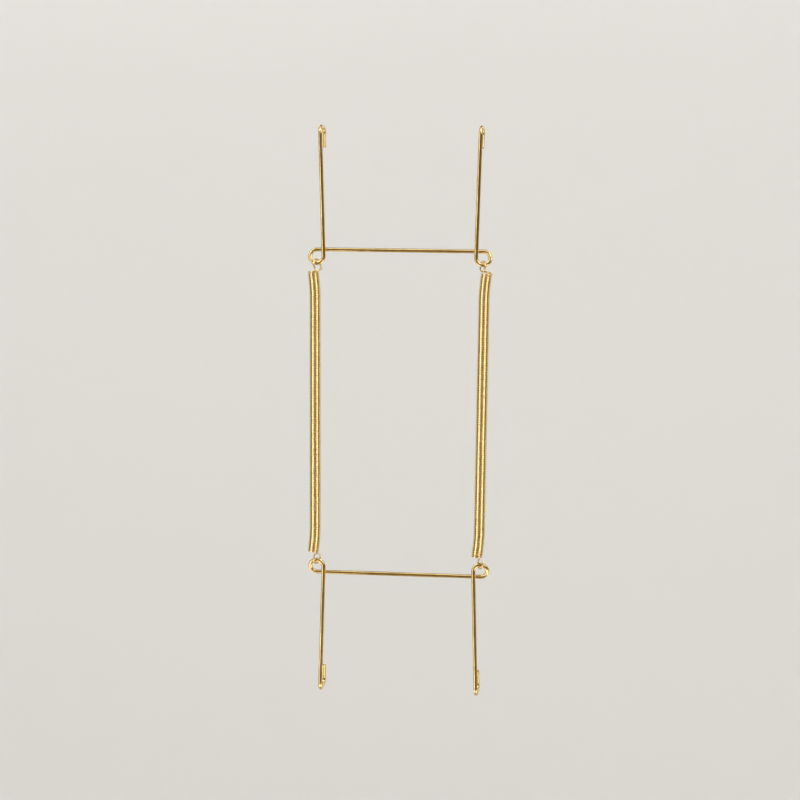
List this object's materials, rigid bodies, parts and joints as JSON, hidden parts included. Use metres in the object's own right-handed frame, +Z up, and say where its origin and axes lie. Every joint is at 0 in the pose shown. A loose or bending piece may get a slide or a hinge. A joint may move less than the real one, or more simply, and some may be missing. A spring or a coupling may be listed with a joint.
{
  "type": "wire plate hanger",
  "caption": "Sprung plate hanger of bent brass wire: hooked legs grip the rim of a plate, and close-wound springs draw the upper and the lower wire together.",
  "frame": {"origin": "middle of the upper bar's centreline, where a nail carries it", "axes": "+Z up along the springs, +X to the right seen from the wall side that the picture shows, +Y towards the plate"},
  "size_m": [0.0679, 0.0113, 0.2106],
  "materials": {
    "brass_wire": "bright drawn and brass plated",
    "spring_wire": "bright coiled and brass plated"
  },
  "bodies": {
    "upper_wire": {"upper_wire": "brass_wire"},
    "left_spring": {"left_spring": "spring_wire"},
    "right_spring": {"right_spring": "spring_wire"},
    "lower_wire": {"lower_wire": "brass_wire"}
  },
  "joints": [
    {"name": "upper_fold", "type": "hinge", "parent": "upper_wire", "child": "left_spring", "pos_m": [0, -0.0016, -0.00484], "axis": [1, 0, 0], "range_deg": [-145, 98]},
    {"name": "spring_stretch", "type": "slide", "parent": "left_spring", "child": "right_spring", "axis": [0, 0, -1], "range_m": [0, 0.09], "stiffness_N_per_m": 500, "springref_m": -0.008, "deforming": ["left_spring", "right_spring"]},
    {"name": "lower_fold", "type": "hinge", "parent": "right_spring", "child": "lower_wire", "pos_m": [0, -0.0016, -0.11516], "axis": [1, 0, 0], "range_deg": [-134, 115]}
  ]
}
